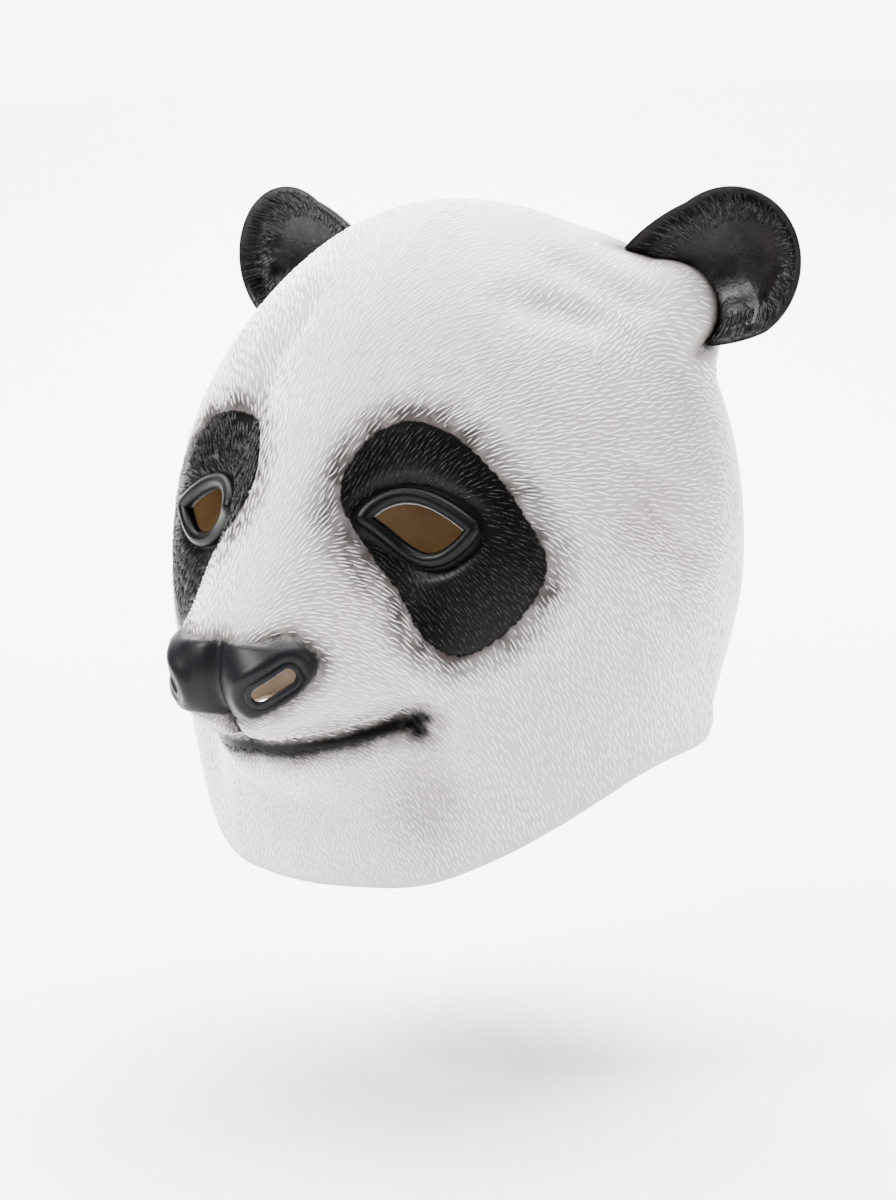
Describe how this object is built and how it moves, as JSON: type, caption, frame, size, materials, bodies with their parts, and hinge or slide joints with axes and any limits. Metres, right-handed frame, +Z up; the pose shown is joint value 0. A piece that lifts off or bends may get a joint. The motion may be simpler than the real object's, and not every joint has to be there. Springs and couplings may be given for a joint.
{
  "type": "panda mask",
  "caption": "Over-the-head latex costume mask shaped as a panda's head, hollow and open below, with cut eye holes, nostril slots and cupped ears.",
  "frame": {"origin": "inside of the crown, where the mask rests on the top of the wearer's head", "axes": "+Z up, -Y the way the face looks, +X the panda's left"},
  "size_m": [0.317, 0.2962, 0.3003],
  "materials": {
    "white_latex": "matte white latex with moulded fur",
    "black_paint": "satin black latex paint over moulded fur",
    "inner_latex": "bare natural latex, amber and slightly shiny"
  },
  "bodies": {
    "root": {"mask_shell": "white_latex"}
  },
  "joints": []
}
